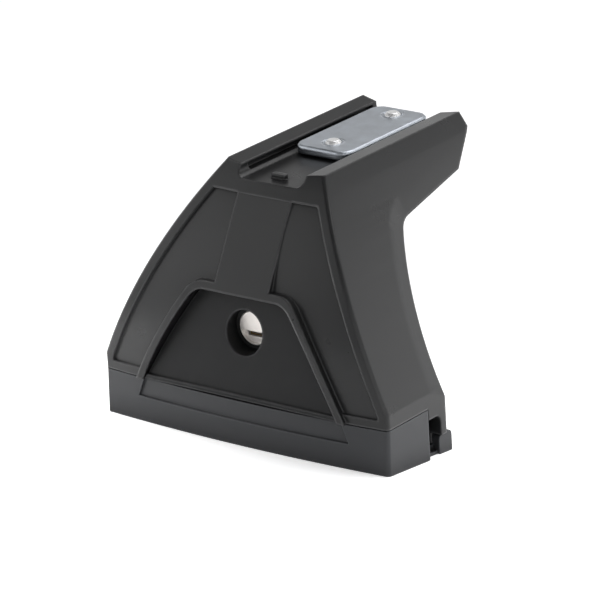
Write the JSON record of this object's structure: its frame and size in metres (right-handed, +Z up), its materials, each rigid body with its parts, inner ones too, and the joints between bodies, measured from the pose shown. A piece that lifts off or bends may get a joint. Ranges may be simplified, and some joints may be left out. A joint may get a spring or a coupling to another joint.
{
  "type": "roof bar foot",
  "caption": "Moulded tower foot for a roof bar, with a wedge boot, a lock door over its fixing and a screw clamp in the bar channel.",
  "frame": {"origin": "centre of the fixing hole on the boot's flat underside", "axes": "+Z up from the underside, the lock door faces -Y, the arm reaches towards +Y, X is across"},
  "size_m": [0.1268, 0.1027, 0.1053],
  "materials": {
    "tower_plastic": "fine moulded grain, satin",
    "boot_rubber": "matt",
    "zinc_steel": "zinc plated, satin",
    "bright_steel": "bright plated",
    "lock_nickel": "satin nickel",
    "lock_black": "black, matt",
    "insert_brass": "plain"
  },
  "bodies": {
    "foot": {"tower_housing": "tower_plastic", "base_boot": "boot_rubber", "base_plate": "zinc_steel", "base_screws": "zinc_steel", "boss_inserts": "insert_brass", "fixing_bush": "zinc_steel", "clamp_washers": "bright_steel"},
    "door": {"door_panel": "tower_plastic", "lock_sleeve": "lock_black", "lock_nut": "lock_nickel"},
    "lock": {"lock_core": "lock_nickel", "lock_wafers": "insert_brass", "lock_cam": "zinc_steel", "cam_screw": "zinc_steel"},
    "plate": {"clamp_plate": "zinc_steel", "plate_inserts": "bright_steel"},
    "screw_front": {"clamp_screw_front": "bright_steel", "screw_clip_front": "bright_steel"},
    "screw_rear": {"clamp_screw_rear": "bright_steel", "screw_clip_rear": "bright_steel"}
  },
  "joints": [
    {"name": "door_pull", "type": "slide", "parent": "foot", "child": "door", "axis": [0, -0.9951, -0.0993], "range_m": [0, 0.045]},
    {"name": "lock_turn", "type": "hinge", "parent": "door", "child": "lock", "pos_m": [0, -0.00907, 0.04149], "axis": [0, 0.9951, 0.0993], "range_deg": [0, 90]},
    {"name": "plate_lift", "type": "slide", "parent": "foot", "child": "plate", "axis": [0, -0.0993, 0.9951], "range_m": [-0.0006, 0.0015]},
    {"name": "screw_front_turn", "type": "hinge", "parent": "foot", "child": "screw_front", "pos_m": [0, 0.03365, 0.0958], "axis": [0, 0.0993, -0.9951], "range_deg": [-216.1, 540.1]},
    {"name": "screw_rear_turn", "type": "hinge", "parent": "foot", "child": "screw_rear", "pos_m": [0, 0.06888, 0.09932], "axis": [0, 0.0993, -0.9951], "range_deg": [-216.1, 540.1]}
  ],
  "couplings": [
    {"joint": "screw_front_turn", "follows": "plate_lift", "rad_per_m": 6283.2},
    {"joint": "screw_rear_turn", "follows": "plate_lift", "rad_per_m": 6283.2}
  ]
}
